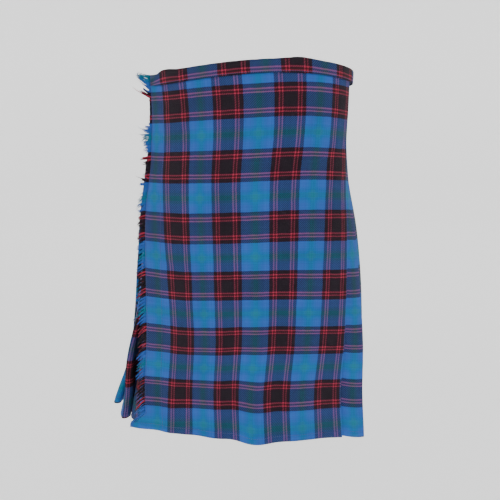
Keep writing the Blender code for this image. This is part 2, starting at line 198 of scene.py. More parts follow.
class Outline:
    """The closed line that the cloth follows at one drop."""

    def __init__(self, drop):
        angle = np.linspace(-math.pi, math.pi, OUTLINE_POINTS)
        sine, cosine = np.sin(angle), np.cos(angle)
        swing = np.zeros_like(angle)
        for fold in FOLDS:
            away = (np.degrees(angle) - fold.angle) / fold.reach
            swing += fold.swing * ease((drop - fold.start) / (LENGTH - fold.start)) * np.exp(-(away**2))
        wide = np.where(sine > 0, at_drop("right", drop), at_drop("left", drop))
        deep = np.where(cosine > 0, at_drop("front", drop), at_drop("back", drop))
        x = (wide + swing) * sine
        y = -(deep + swing) * cosine + at_drop("skew", drop) * x
        length = np.concatenate([[0], np.cumsum(np.hypot(np.diff(x), np.diff(y)))])
        in_front = np.abs(angle) < math.pi / 2
        middle = np.interp(at_drop("middle", drop), x[in_front], length[in_front])
        tangent_x, tangent_y = np.gradient(x, length), np.gradient(y, length)
        size = np.hypot(tangent_x, tangent_y)
        front = np.maximum(0, np.cos(angle - math.radians(FRONT_RISES_AT))) ** 2
        back = np.maximum(0, -cosine) ** 2
        sag = np.where(angle > 0, SAG_PLUS_X, SAG_MINUS_X) * sine**2 * (drop / LENGTH) ** 2
        self.drop, self.total, self.along = drop, float(length[-1]), length - middle
        z = TOP_AT + FRONT_RISES * front + BACK_RISES * back - drop - sag
        self.columns = (x, y, z, tangent_y / size, -tangent_x / size)

    def crease(self, along):
        """How far the hand-laid creases lift the cloth off the outline."""
        lift = np.zeros_like(along)
        for crease in CREASES:
            run = crease.to_drop - crease.drop
            share = np.clip((self.drop - crease.drop) / run, 0, 1)
            beyond = (self.drop - crease.drop) / run - share
            centre = crease.along + (crease.to_along - crease.along) * share
            if abs(crease.to_along - crease.along) > abs(run):
                # It lies more across than down, so its own line is followed across.
                reach = crease.to_along - crease.along
                part = np.clip((along - crease.along) / reach, 0, 1)
                away = (self.drop - crease.drop - run * part) / crease.width
                fade = np.sin(math.pi * part) ** 0.5
                lift += crease.height * fade * np.exp(-(away**2))
                continue
            away = (along - centre + self.total / 2) % self.total - self.total / 2
            fade = (1 - ease(share)) * math.exp(-((beyond * run / CREASE_FADES_OVER) ** 2))
            lift += crease.height * fade * np.exp(-((away / crease.width) ** 2))
        return lift

    def place(self, along, inset):
        """Points that lie so far along the outline and inside it."""
        along, inset = np.broadcast_arrays(np.asarray(along, float), np.asarray(inset, float))
        low = self.along[0]
        at = (along - low) % self.total + low
        x, y, z, out_x, out_y = (np.interp(at, self.along, column) for column in self.columns)
        inset = inset - self.crease(at)
        return np.stack([x - out_x * inset, y - out_y * inset, z], axis=-1)


def check_down(drop):
    """Where a drop lies in the check's length. Less of it shows where the hem curves under."""
    return drop - HEM_HIDES * ease((drop - HEM_HIDES_FROM) / HEM_HIDES_OVER)


def pulled(along, drop):
    beyond = np.maximum(0, np.abs(along) - HALF)
    fade = np.exp(-((beyond / PULL_FADES_OVER) ** 2))
    at = np.clip(along, -HALF, HALF)
    pulls = []
    for table in (PULLED_ACROSS, PULLED_DOWN):
        drops, *columns = zip(*table)
        row = [float(curve(drop, drops, column)) for column in columns]
        pulls.append(curve(at, PULL_ALONG, row) * fade / 1000)
    return pulls


def raw_edge(drop):
    """How far out the cloth is woven at its raw edge, and how far it curls off the outline."""
    drops, outs, curls = zip(*RAW_EDGE)
    corner = CORNER_OUT * float(ease((drop - CORNER_FROM) / CORNER_DEEP))
    return float(curve(drop, drops, outs)) + corner, float(curve(drop, drops, curls))


def curled(curl, along):
    """How much of that curl is left so far in from the raw edge."""
    return curl * np.exp(-((np.maximum(along + HALF, 0) / CURL_REACH) ** 2))


def drops_to(hem, step=ROW_STEP, top=BAND_HEIGHT - TUCKED_IN):
    """Drops of the rows, with one just above the turned-up hem's edge and one just below."""
    down = np.linspace(top, hem, round((hem - top) / step) + 1)
    edge = hem - HEM_DEPTH
    apart = down[np.abs(down - edge) > 2 * HEM_EDGE]
    return np.unique(np.concatenate([apart, [edge - HEM_EDGE, edge + HEM_EDGE]]))


def put_in(name, data):
    """A new object in the scene."""
    made = bpy.data.objects.new(name, data)
    bpy.context.scene.collection.objects.link(made)
    return made


def sheet_from(name, points, across, down, thickness, even=True):
    """A sheet of cloth from rows of points. Its UV map is its place in the check, in metres."""
    rows, columns = points.shape[:2]
    index = np.arange(rows * columns).reshape(rows, columns)
    corners = [index[:-1, :-1], index[1:, :-1], index[1:, 1:], index[:-1, 1:]]
    faces = np.stack(corners, axis=-1).reshape(-1, 4)
    mesh = bpy.data.meshes.new(name)
    mesh.from_pydata(points.reshape(-1, 3).tolist(), [], faces.tolist())
    uv = mesh.uv_layers.new(name="cloth")
    places = np.stack([across, down], axis=-1).reshape(-1, 2)
    uv.data.foreach_set("uv", places[faces.reshape(-1)].astype(np.float32).reshape(-1))
    mesh.shade_smooth()
    made = put_in(name, mesh)
    wall = made.modifiers.new("wall", "SOLIDIFY")
    wall.thickness = thickness
    wall.offset = 0.0
    wall.use_even_offset = even
    return made


def fold_round(edge, inset, gap, steps=4):
    """A soft fold that reaches past edge, from one layer to the layer gap further in."""
    turn = np.linspace(0, math.pi, steps + 2)[1:-1]
    return edge + gap / 2 * np.sin(turn), inset + gap / 2 * (1 - np.cos(turn))


flat_part = np.linspace(0, 1, APRON_COLUMNS + 1)
fold_along, fold_inset = fold_round(HALF, CLOTH / 2, TURN_GAP)
turned_part = np.linspace(HALF, HALF - TURN_UNDER, TURN_COLUMNS + 1)
round_part = np.linspace(*TURN_ROUND_ROWS, len(fold_along))
rows = []
for drop in drops_to(LENGTH):
    proud = HEM_PROUD if drop > LENGTH - HEM_DEPTH else 0.0
    out, curl = raw_edge(drop)
    folded_in = float(curve(drop, FOLDED_IN_DROPS, FOLDED_IN))
    flat_along = HALF - folded_in - (APRON_WIDTH + out - folded_in) * flat_part[::-1]
    along = np.concatenate([flat_along, fold_along - folded_in, turned_part - folded_in])
    inset = np.concatenate([CLOTH / 2 - curled(curl, flat_along), fold_inset,
                            np.full_like(turned_part, CLOTH / 2 + TURN_GAP)])
    folded_at = HALF + flat_along[-1]
    across = np.concatenate([flat_along + HALF, folded_at + round_part,
                             folded_at + TURN_ROUND + HALF - turned_part])
    pull_across, pull_down = pulled(along, drop)
    rows.append((Outline(drop).place(along, inset - proud), np.abs(across + pull_across),
                 check_down(drop) + pull_down))
over_apron = sheet_from("over_apron_cloth", *map(np.array, zip(*rows)), CLOTH)


def colour(code):
    """An sRGB hex code as linear red, green, blue and alpha."""
    parts = [int(code[i : i + 2], 16) / 255 for i in (1, 3, 5)]
    return (*[c / 12.92 if c <= 0.04045 else ((c + 0.055) / 1.055) ** 2.4 for c in parts], 1.0)


def fill(tree, node, inputs):
    """Gives a node its inputs, as values or as outputs to link."""
    for name, value in dict(inputs).items():
        if isinstance(value, bpy.types.NodeSocket):
            tree.links.new(value, node.inputs[name])
        else:
            node.inputs[name].default_value = value


def add(tree, kind, inputs=(), **settings):
    """Adds a node, with its settings and inputs."""
    made = tree.nodes.new(kind)
    for name, value in settings.items():
        setattr(made, name, value)
    fill(tree, made, inputs)
    return made


def new_material(name):
    """A new material, its node tree, and the shader there."""
    material = bpy.data.materials.new(name)
    material.use_nodes = True
    return material, material.node_tree, material.node_tree.nodes["Principled BSDF"]


# Dyed worsted yarn, as it looks in daylight. The green shades into the blue over
# a few threads, and the blacks beside and between the red lines are warmer.
YARN = {"blue": "#25539E", "sea_blue": "#20569A", "sea": "#1A5C8E", "green": "#11657D",
        "black": "#191119", "soot": "#1D0B18", "plum": "#380813", "red": "#9E2A40"}
# The check: colour and width of each stripe, in parts of the repeat. The same
# stripes run down the cloth and across it.
REPEAT_PARTS = 60
STRIPES = (
    ("blue", 7), ("sea_blue", 2.5), ("sea", 2.5), ("green", 5),
    ("sea", 2.5), ("sea_blue", 2.5), ("blue", 7),
    ("soot", 4), ("red", 1.3), ("plum", 1.9), ("red", 1.3),
    ("soot", 2.5), ("black", 9), ("soot", 2.5),
    ("red", 1.3), ("plum", 1.9), ("red", 1.3), ("soot", 4),
)
STRIPES_DOWN_FROM = 0.0113  # of the check, is above the top edge
# A thread is really about 0.5 mm. It is drawn as coarse as it needs to show.
THREAD = 0.00085
OVER_TWO = 1.5  # below this, in a count of four threads from 0, the warp is on top
TOP_THREAD = 0.36  # of the colour, is the upper thread's; the rest is both
WEFT_SHOWS = 0.07  # and so much more of the thread that runs across
WANDER, WANDER_WAVES = 0.0012, 90.0  # yarns stray so far from straight, so often in a metre
CLOUD_WAVES = 16.0  # soft patches of wear, about 60 mm across
FUZZ_WAVES = 700.0  # the nap, in tufts of about 1.4 mm
# What thick and thin yarns, wear and nap do to the lightness: the ends of their
# values, and the darkest and lightest tone that these give.
SLUBBY = (0.0, 2.0, 0.86, 1.10)
CLOUDY = (0.25, 0.75, 0.90, 1.10)
FUZZY = (0.25, 0.75, 0.92, 1.08)
RIDGE = 0.0003  # height of a diagonal


def stripes_at(tree, way, shift):
    """The colour of the yarn so far along the check."""
    moved = add(tree, "ShaderNodeMath", {0: way, 1: shift}, operation="ADD").outputs[0]
    turns = add(tree, "ShaderNodeMath", {0: moved, 1: REPEAT}, operation="DIVIDE").outputs[0]
    phase = add(tree, "ShaderNodeMath", {0: turns}, operation="FRACT").outputs[0]
    stripes = add(tree, "ShaderNodeValToRGB", {0: phase})
    ramp = stripes.color_ramp
    ramp.interpolation = "CONSTANT"
    start = 0.0
    for number, (yarn, width) in enumerate(STRIPES):
        step = ramp.elements[0] if number == 0 else ramp.elements.new(start / REPEAT_PARTS)
        step.color = colour(YARN[yarn])
        start += width
    ramp.elements.remove(ramp.elements[-1])
    return stripes.outputs[0]


def wool_twill(name, roughness, sheen):
    """Worsted 2/2 twill: each thread goes over two and under two, a step on
    each row, so that fine diagonals mix the colours. Matt, with a soft nap."""
    material, tree, shader = new_material(name)
    place = add(tree, "ShaderNodeUVMap", uv_map="cloth").outputs[0]
    noise = add(tree, "ShaderNodeTexNoise",
                {"Vector": place, "Scale": WANDER_WAVES, "Detail": 2.0}).outputs["Color"]
    either = add(tree, "ShaderNodeVectorMath", {0: noise, 1: (0.5, 0.5, 0.5)},
                 operation="SUBTRACT").outputs[0]
    stray = add(tree, "ShaderNodeVectorMath", {0: either, "Scale": WANDER}, operation="SCALE").outputs[0]
    lies = add(tree, "ShaderNodeVectorMath", {0: place, 1: stray}, operation="ADD").outputs[0]
    parts = add(tree, "ShaderNodeSeparateXYZ", {0: lies})
    across, down = parts.outputs[0], parts.outputs[1]

    yarns, counts, slubs = [], [], []
    for way, shift in ((across, 0.0), (down, STRIPES_DOWN_FROM)):
        yarns.append(stripes_at(tree, way, shift))
        threads = add(tree, "ShaderNodeMath", {0: way, 1: THREAD}, operation="DIVIDE").outputs[0]
        count = add(tree, "ShaderNodeMath", {0: threads}, operation="FLOOR").outputs[0]
        slub = add(tree, "ShaderNodeTexWhiteNoise", {"W": count}, noise_dimensions="1D").outputs[0]
        counts.append(count)
        slubs.append(slub)
    steps = add(tree, "ShaderNodeMath", {0: counts[0], 1: counts[1]}, operation="ADD").outputs[0]
    four = add(tree, "ShaderNodeMath", {0: steps, 1: 4.0}, operation="FLOORED_MODULO").outputs[0]
    warp_up = add(tree, "ShaderNodeMath", {0: four, 1: OVER_TWO}, operation="LESS_THAN").outputs[0]

    upper = add(tree, "ShaderNodeMix", {0: warp_up, 6: yarns[1], 7: yarns[0]},
                data_type="RGBA").outputs[2]
    product = add(tree, "ShaderNodeMix", {0: 1.0, 6: yarns[0], 7: yarns[1]},
                  data_type="RGBA", blend_type="MULTIPLY").outputs[2]
    both = add(tree, "ShaderNodeGamma", {0: product, 1: 0.5}).outputs[0]
    mixed = add(tree, "ShaderNodeMix", {0: TOP_THREAD, 6: both, 7: upper}, data_type="RGBA").outputs[2]
    mixed = add(tree, "ShaderNodeMix", {0: WEFT_SHOWS, 6: mixed, 7: yarns[1]},
                data_type="RGBA").outputs[2]

    # Thick and thin yarns, and soft clouds of wear, change the lightness.
    slub = add(tree, "ShaderNodeMath", {0: slubs[0], 1: slubs[1]}, operation="ADD").outputs[0]
    clouds = add(tree, "ShaderNodeTexNoise",
                 {"Vector": place, "Scale": CLOUD_WAVES, "Detail": 3.0}).outputs["Fac"]
    fuzz = add(tree, "ShaderNodeTexNoise",
               {"Vector": place, "Scale": FUZZ_WAVES, "Detail": 1.0}).outputs["Fac"]
    tone = add(tree, "ShaderNodeMapRange", enumerate((slub, *SLUBBY))).outputs[0]
    for value, tones in ((clouds, CLOUDY), (fuzz, FUZZY)):
        more = add(tree, "ShaderNodeMapRange", enumerate((value, *tones))).outputs[0]
        tone = add(tree, "ShaderNodeMath", {0: tone, 1: more}, operation="MULTIPLY").outputs[0]
    shaded = add(tree, "ShaderNodeVectorMath", {0: mixed, "Scale": tone}, operation="SCALE").outputs[0]

    # Each diagonal is a low ridge.
    height = add(tree, "ShaderNodeMath", {0: warp_up, 1: fuzz}, operation="ADD").outputs[0]
    bump = add(tree, "ShaderNodeBump", {"Height": height, "Strength": 0.5, "Distance": RIDGE}).outputs[0]
    fill(tree, shader, {"Base Color": shaded, "Normal": bump, "Roughness": roughness,
                        "Specular IOR Level": 0.2, "Sheen Weight": sheen, "Sheen Roughness": 0.4})
    return material


checked_wool = wool_twill("checked_wool_twill", 0.9, 0.03)
over_apron.data.materials.append(checked_wool)
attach(over_apron, "root")
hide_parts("over_apron")

# ---------------------------------------------------------------------- fringe
# The over apron's raw edge with its long threads drawn out. What is left are
# the threads that run across, twisted by wear into small pointed tufts that
# keep the colours of their stripes. Higher up they are worn away in places.
TUFTS = 94
YARNS_IN_TUFT = 14
YARN_THICK = 0.0007
YARN_TAPERS = 0.55
YARN_POINTS, YARN_SIDES = 7, 3
YARN_REACHES = (0.7, 1.1)  # of its tuft's length
YARN_LIES = 0.0005  # behind its tuft's root, or in front
STRAY_CHANCE, STRAY_REACHES = 0.08, 1.5
TUFT_LIFTS = (-0.12, 0.25)  # off the outline, of its length
TUFT_GATHERS = 0.88  # to a point, more where it lies evenly and less where it doesn't
EVEN_GATHERS, RAGGED_GATHERS = 1.25, 2
GATHER_BEND = 1.2
UNEVEN_RISE = 0.6
RISES_STRAIGHT, RISES_BENT = 0.45, 0.55
SHORTENS = 0.12  # as a yarn bends
ROOT_IN, AIM_IN = 0.0003, 0.010  # from the raw edge; the line between them points the tuft
FRINGE_TOP, FRINGE_HEM = 0.002, 0.584
# The yarns' roots are held in a last narrow strip of loose weave.
STRIP_ROWS = 200
STRIP_FROM, STRIP_TO = 0.0002, 0.0010  # out from the raw edge
STRIP_WAVES = ((0.0006, 2100), (0.0004, 910))
STRIP_THINNER = 0.0004  # than the cloth, on either face
YARN_TWIST = 900.0  # waves in a metre
YARN_TONES = (0.25, 0.75, 0.75, 1.25)  # and their tones, given as the weave's are
# At each drop: the tufts' length, how far they rise over it (below 0 they
# droop), how far they stand off the outline, and how unevenly they lie.
WORN = (
    (0.000, 0.008, 0.15, 1.5, 0.25),
    (0.008, 0.020, 0.35, 1.5, 0.30),
    (0.018, 0.022, 0.50, 1.5, 0.30),
    (0.022, 0.008, 0.50, 1.5, 0.30),
    (0.026, 0.010, 0.45, 1.5, 0.25),
    (0.030, 0.015, 0.45, 1.5, 0.25),
    (0.036, 0.017, 0.50, 1.5, 0.25),
    (0.040, 0.004, 0.10, 1.5, 0.20),
    (0.064, 0.003, 0.00, 1.5, 0.20),
    (0.072, 0.008, 0.20, 1.5, 0.40),
    (0.079, 0.006, 0.00, 1.5, 0.30),
    (0.086, 0.014, 0.05, 1.3, 0.42),
    (0.106, 0.020, -0.05, 1.3, 0.44),
    (0.122, 0.015, -0.15, 1.3, 0.42),
    (0.128, 0.004, -0.10, 1.3, 0.20),
    (0.134, 0.017, 0.00, 1.3, 0.20),
    (0.142, 0.015, -0.10, 1.3, 0.35),
    (0.162, 0.012, -0.10, 1.2, 0.35),
    (0.170, 0.013, 0.00, 1.2, 0.30),
    (0.174, 0.019, 0.05, 1.2, 0.20),
    (0.178, 0.017, 0.00, 1.2, 0.20),
    (0.182, 0.009, -0.20, 1.1, 0.30),
    (0.190, 0.009, -0.30, 1.1, 0.35),
    (0.197, 0.016, -0.30, 1.0, 0.38),
    (0.210, 0.017, -0.30, 0.9, 0.38),
    (0.216, 0.010, -0.30, 0.8, 0.30),
    (0.220, 0.016, -0.20, 0.8, 0.28),
    (0.240, 0.015, -0.30, 0.7, 0.28),
    (0.300, 0.017, -0.45, 0.6, 0.15),
    (0.400, 0.018, -0.60, 0.5, 0.12),
    (0.600, 0.018, -0.75, 0.4, 0.12),
)
fringe_outlines = {}


def outline_at(drop):
    """The outline at this drop, to the nearest half millimetre."""
    key = round(drop * 2000)
    if key not in fringe_outlines:
        fringe_outlines[key] = Outline(key / 2000)
    return fringe_outlines[key]


wear = np.random.default_rng(4)
fringe_mesh = bmesh.new()
fringe_uv = fringe_mesh.loops.layers.uv.new("cloth")


def yarn(path, thick, down):
    """A tapered yarn along a path, with flat sides and closed ends."""
    rings = []
    for i, point in enumerate(path):
        ahead = (path[min(i + 1, len(path) - 1)] - path[max(i - 1, 0)]).normalized()
        side = ahead.orthogonal().normalized()
        up = ahead.cross(side)
        radius = thick * (1 - YARN_TAPERS * (i / (len(path) - 1)) ** 2)
        turns = [2 * math.pi * n / YARN_SIDES for n in range(YARN_SIDES)]
        ring = [point + radius * (side * math.cos(turn) + up * math.sin(turn)) for turn in turns]
        rings.append([fringe_mesh.verts.new(corner) for corner in ring])
    faces = [fringe_mesh.faces.new(tuple(reversed(rings[0]))), fringe_mesh.faces.new(rings[-1])]
    for here, there in zip(rings, rings[1:]):
        for n in range(YARN_SIDES):
            m = (n + 1) % YARN_SIDES
            faces.append(fringe_mesh.faces.new((here[n], here[m], there[m], there[n])))
    for face in faces:
        face.smooth = True
        for loop in face.loops:
            loop[fringe_uv].uv = (0.0, down)


worn_drops, *worn_columns = zip(*WORN)
tuft_pitch = (FRINGE_HEM - FRINGE_TOP) / TUFTS
for tuft in range(TUFTS):
    drop = FRINGE_TOP + (tuft + 0.5) * tuft_pitch
    out, curl = raw_edge(drop)
    edge = -HALF - out
    root, inner = map(Vector, outline_at(drop).place([edge + ROOT_IN, edge + AIM_IN], CLOTH / 2 - curl))
    length, rise, flare, ragged = (float(np.interp(drop, worn_drops, column))
                                   for column in worn_columns)
    outward = (root - inner).normalized()
    normal = Vector((0, 0, 1)).cross(outward).normalized()
    outward = (outward + normal * flare).normalized()
    length *= wear.uniform(1 - ragged / 2, 1 + ragged / 2)
    gathers = TUFT_GATHERS * (EVEN_GATHERS - RAGGED_GATHERS * ragged)
    rise += ragged * wear.uniform(-UNEVEN_RISE, UNEVEN_RISE)
    lift = wear.uniform(*TUFT_LIFTS)
    for strand in range(YARNS_IN_TUFT):
        spread = (strand + 0.5) / YARNS_IN_TUFT - 0.5
        start = root + Vector((0, 0, -spread * tuft_pitch))
        start += normal * wear.uniform(-YARN_LIES, YARN_LIES)
        stray = STRAY_REACHES if wear.random() < STRAY_CHANCE * ragged else 1.0
        reach = length * wear.uniform(*YARN_REACHES) * stray
        own_rise = rise + ragged * wear.uniform(-UNEVEN_RISE, UNEVEN_RISE) * stray
        path = []
        for i in range(YARN_POINTS):
            t = i / (YARN_POINTS - 1)
            climb = reach * own_rise * (RISES_STRAIGHT * t + RISES_BENT * t * t)
            climb += spread * tuft_pitch * gathers * t**GATHER_BEND
            level = start + outward * reach * t * (1 - SHORTENS * t) + normal * reach * lift * t * t
            path.append(level + Vector((0, 0, climb)))
        down = check_down(drop) + pulled(-HALF, drop)[1] + spread * tuft_pitch
        yarn(path, YARN_THICK, down)

strip_drops = np.linspace(FRINGE_TOP, FRINGE_HEM, STRIP_ROWS)
strip = []
for drop in strip_drops:
    ring = outline_at(drop)
    out, curl = raw_edge(drop)
    wavy = sum(reach * math.sin(drop * beat) for reach, beat in STRIP_WAVES)
    edge = np.array([-STRIP_FROM, -STRIP_TO + wavy]) - HALF - out
    front = ring.place(edge, STRIP_THINNER - curl)
    back = ring.place(edge[::-1], CLOTH - STRIP_THINNER - curl)
    strip.append([fringe_mesh.verts.new(point) for point in (*front, *back)])
for here, there, drop in zip(strip, strip[1:], strip_drops):
    for n in range(4):
        m = (n + 1) % 4
        face = fringe_mesh.faces.new((here[n], here[m], there[m], there[n]))
        for loop in face.loops:
            loop[fringe_uv].uv = (0.0, check_down(drop) + pulled(-HALF, drop)[1])
fringe_mesh.faces.new(reversed(strip[0]))
fringe_mesh.faces.new(strip[-1])
bmesh.ops.recalc_face_normals(fringe_mesh, faces=fringe_mesh.faces)
mesh = bpy.data.meshes.new("fringe_yarns")
fringe_mesh.to_mesh(mesh)
fringe_mesh.free()
fringe = put_in("fringe_yarns", mesh)


def twisted(tree, dye, waves, detail, tones):
    """A dyed yarn, lighter and darker with its twist."""
    where = add(tree, "ShaderNodeTexCoord").outputs["Object"]
    twist = {"Vector": where, "Scale": waves, "Detail": detail}
    twist = add(tree, "ShaderNodeTexNoise", twist).outputs["Fac"]
    tone = add(tree, "ShaderNodeMapRange", enumerate((twist, *tones))).outputs[0]
    return add(tree, "ShaderNodeVectorMath", {0: dye, "Scale": tone}, operation="SCALE").outputs[0]


# The same worsted yarn out of its weave: untwisted, fuzzy and duller, and each
# one has the colour of the stripe it comes from.
frayed, tree, shader = new_material("frayed_worsted_yarn")
place = add(tree, "ShaderNodeUVMap", uv_map="cloth").outputs[0]
down = add(tree, "ShaderNodeSeparateXYZ", {0: place}).outputs[1]
dyed = stripes_at(tree, down, STRIPES_DOWN_FROM)
shaded = twisted(tree, dyed, YARN_TWIST, 2.0, YARN_TONES)
fill(tree, shader, {"Base Color": shaded, "Roughness": 0.95,
                    "Specular IOR Level": 0.15, "Sheen Weight": 0.05})
fringe.data.materials.append(frayed)
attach(fringe, "root")
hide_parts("fringe")

# ---------------------------------------------------------------------- pleats
# Knife pleats round the back and hips, pressed and stitched down to the fell
# and open below it. Three widths of the same twill are joined to make them,
# seven pleats to a width. Each pleat's fold lies over the one that follows.
PLEATS, PLEATS_IN_WIDTH = 21, 7
FELL = 0.170  # the drop they are stitched down to
PLEAT_CLOTH = 0.0012
PLEAT_INSET = 0.005  # they lie so far inside the over apron's line
LAYER_GAP = 0.0019
SEAM_GAP = 0.0004  # between the over apron's turned edge and the first pleat's
FIRST_TURN = APRON_WIDTH / 30  # the first pleat starts so far past the apron's turned part
LAST_LAP = APRON_WIDTH / 30  # the last fold reaches so far behind the fringed edge
FIRST_SWING = 0.013  # of the first pleat inwards, at the hem
FIRST_NARROWER = 0.010
PLEAT_SWAY, SWAY_BEAT = 0.0030, 2.4  # no two hang alike: a wave of the pleat's number
PLEAT_LIFT, LIFT_BEAT = 0.0015, 3.7
FACE_CROWN = 0.10  # of its slope, a face bulges out
BEND_OUT = 0.0009  # the bend at a pleat's root
SEAM_TAKES, BEND_TAKES = 0.004, 0.0015  # of the check
PLEAT_ROW_STEP = 0.0085
FACE_COLUMNS, LAST_FACE_COLUMNS = 15, 22
INSIDE_COLUMNS, OUTSIDE_COLUMNS = 7, 11  # of the first pleat's face
RETURN_COLUMNS = 6
NOSE_STEPS = 7  # of a fold's round
CHECK_AT_FIRST_FOLD = 0.386  # of the repeat
CHECK_STEP = 0.3113  # from one fold to the next
# The last pleat's place in the check puts a black stripe in the gap beside the fringe: painted shade for
# the deep shadow there.
CHECK_AT_OTHERS_AND_PAINTED_SHADE = {1: 0.446, 2: 0.30, 19: 0.17, 20: 0.50, PLEATS: 0.41}  # given one by one
# Beside the fringed edge the pleats have fallen open. Towards the hem these two
# hang further round, with a wide round fold, and swing out or in. The last
# pleat's face lies deeper beside them.
Fallen = namedtuple("Fallen", "pleat round swing")
FALLEN = (Fallen(19, 0.012, 0.006), Fallen(20, 0.015, -0.005))
SWINGS_FROM = 0.51
LAST_HOLLOW = 0.009
FALLEN_BACK = 0.036  # round the outline, for the 19th pleat and less for those before it
FALLEN_REACH = 5  # pleats
STAND_OUT = 0.009  # of the 20th, at this drop
STAND_OUT_DROP, STAND_OUT_REACH = 0.490, 0.065


def fold_lines(outline, opened):
    """Where the folds lie along the outline. The last one has its own place."""
    shown = at_drop("shown", outline.drop)
    pitch = (outline.total - APRON_WIDTH - shown) / (PLEATS - 1)
    lines = [HALF + k * pitch + PLEAT_SWAY * math.sin(SWAY_BEAT * k) * opened for k in range(PLEATS)]
    lines[1] -= FIRST_NARROWER * opened
    for k in range(1, PLEATS - 1):
        away = (FALLEN[0].pleat - k) / FALLEN_REACH
        lines[k] -= FALLEN_BACK * opened * math.exp(-(away**2))
    lines[FALLEN[1].pleat] -= FALLEN[1].round / 2 * opened
    return [*lines, outline.total - HALF + LAST_LAP]


def pleat_row(outline, first, last):
    """Each pleat is a face that runs out to its fold, and a return back under it."""
    depth, stack = at_drop("fold_depth", outline.drop), at_drop("stack", outline.drop)
    opened = float(ease((outline.drop - FELL) / (LENGTH - FELL)))
    folds = fold_lines(outline, opened)
    surface = PLEAT_INSET + PLEAT_CLOTH / 2
    innermost = surface + stack
    fallen = {one.pleat: one for one in FALLEN}
    stand_out = STAND_OUT * math.exp(-(((outline.drop - STAND_OUT_DROP) / STAND_OUT_REACH) ** 2))
    along, inset, across = [], [], []

    def lay(*point):
        """Adds points, each given as along the outline, inside it, and across the check."""
        for values, more in zip((along, inset, across), np.broadcast_arrays(*np.atleast_1d(*point))):
            values.extend(more)

    for k in range(first, last + 1):
        lift = PLEAT_LIFT * (1 + math.sin(LIFT_BEAT * k)) if k < PLEATS else 0.0
        outer = surface + (lift if k > 1 else -FIRST_SWING) * opened
        outer -= stand_out if k == FALLEN[1].pleat else 0
        gap = LAYER_GAP
        if k in fallen:
            swung = float(ease((outline.drop - SWINGS_FROM) / (LENGTH - SWINGS_FROM)))
            outer -= fallen[k].swing * swung
            gap += fallen[k].round * opened**2
        at_fold = CHECK_AT_OTHERS_AND_PAINTED_SHADE.get(k, CHECK_AT_FIRST_FOLD + CHECK_STEP * (k - 1)) * REPEAT
        if k == 1:
            root, start, leaves = HALF - TURN_UNDER - FIRST_TURN, surface, HALF
            turned = CLOTH / 2 + TURN_GAP
            seam = np.array([root + FIRST_TURN - SEAM_GAP, root + FIRST_TURN / 2, root])
            lay(seam, turned, at_fold - folds[k] + root + (root - seam) - SEAM_TAKES)
            inside = np.linspace(root, HALF, INSIDE_COLUMNS)
            face = np.concatenate([inside, np.linspace(HALF, folds[k], OUTSIDE_COLUMNS)[1:]])
        else:
            root, start, leaves = folds[k - 1] - depth, innermost, folds[k - 1] - depth
            start += LAST_HOLLOW * opened**2 if k == PLEATS else 0.0
            face = np.linspace(root, folds[k], LAST_FACE_COLUMNS if k == PLEATS else FACE_COLUMNS)
        if k == 1 or k > first:
            lay(root - BEND_OUT, start - LAYER_GAP / 2, at_fold - folds[k] + root - BEND_TAKES)
        share = np.maximum(0.0, face - leaves) / (folds[k] - leaves)
        crown = FACE_CROWN * (start - outer) * np.sin(math.pi * share) * opened
        lay(face, start + (outer - start) * share - crown, at_fold + face - folds[k])
        nose_along, nose_inset = fold_round(folds[k], outer, gap, NOSE_STEPS)
        round_nose = np.linspace(0, 1, NOSE_STEPS + 2)[1:-1]
        lay(nose_along, nose_inset, at_fold + math.pi / 2 * gap * round_nose)
        back = np.linspace(0, 1, RETURN_COLUMNS)
        lay(folds[k] - depth * back, outer + gap + (innermost - LAYER_GAP - gap - outer) * back,
            at_fold + math.pi / 2 * gap + depth * back)
    along = np.array(along)
    apart = (along + outline.total / 2) % outline.total - outline.total / 2
    down = check_down(outline.drop) + pulled(apart, outline.drop)[1]
    return outline.place(along, inset), np.array(across), down


def width_row(outline, width):
    """The seven pleats of one of the three widths."""
    return pleat_row(outline, PLEATS_IN_WIDTH * width + 1, PLEATS_IN_WIDTH * (width + 1))


for width, side in enumerate(("left_hip", "back", "right_hip")):
    rows = [width_row(Outline(drop), width) for drop in drops_to(LENGTH, PLEAT_ROW_STEP)]
    pleats = sheet_from(f"pleats_{side}_cloth", *map(np.array, zip(*rows)), PLEAT_CLOTH)
    pleats.data.materials.append(checked_wool)
    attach(pleats, "root")
    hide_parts(f"pleats_{side}")

# ----------------------------------------------------------------- under apron
# The other end of the wrap. It goes on from the last pleat, flat across the
# lap under the over apron, and its free edge ends inside.
UNDER_WIDTH = 0.335
UNDER_LAP = 0.003  # it starts so far behind the last pleat's return
UNDER_GAP = 0.0008  # between the two cloths
UNDER_CLEAR, UNDER_EASE = 0.004, 0.08  # deeper in at the hem, over so much of its width
UNDER_HEM = LENGTH - 0.006
UNDER_COLUMNS, UNDER_RISE_COLUMNS = 61, 5


def under_row(outline):
    """The under apron rises along the last pleat's return, then goes on across the lap."""
    fold = outline.total - HALF + LAST_LAP
    depth = at_drop("fold_depth", outline.drop)
    start = fold - depth - UNDER_LAP
    slope = (at_drop("stack", outline.drop) - 2 * LAYER_GAP) / depth
    behind = (PLEAT_CLOTH + CLOTH) / 2 * math.hypot(1, slope) + UNDER_GAP
    shallow = PLEAT_INSET + PLEAT_CLOTH / 2 + LAYER_GAP + behind
    deep = shallow + slope * depth
    clear = shallow + UNDER_CLEAR * outline.drop / LENGTH
    rise = np.linspace(fold - depth, fold, UNDER_RISE_COLUMNS)
    on = np.linspace(fold, start + UNDER_WIDTH, UNDER_COLUMNS)[1:]
    along = np.concatenate([[start], rise, on])
    inset = np.concatenate([[deep], deep + (shallow - deep) * np.linspace(0, 1, UNDER_RISE_COLUMNS),
                            shallow + (clear - shallow) * ease((on - fold) / UNDER_EASE)])
    return outline.place(along, inset), along - start, np.full_like(along, check_down(outline.drop))


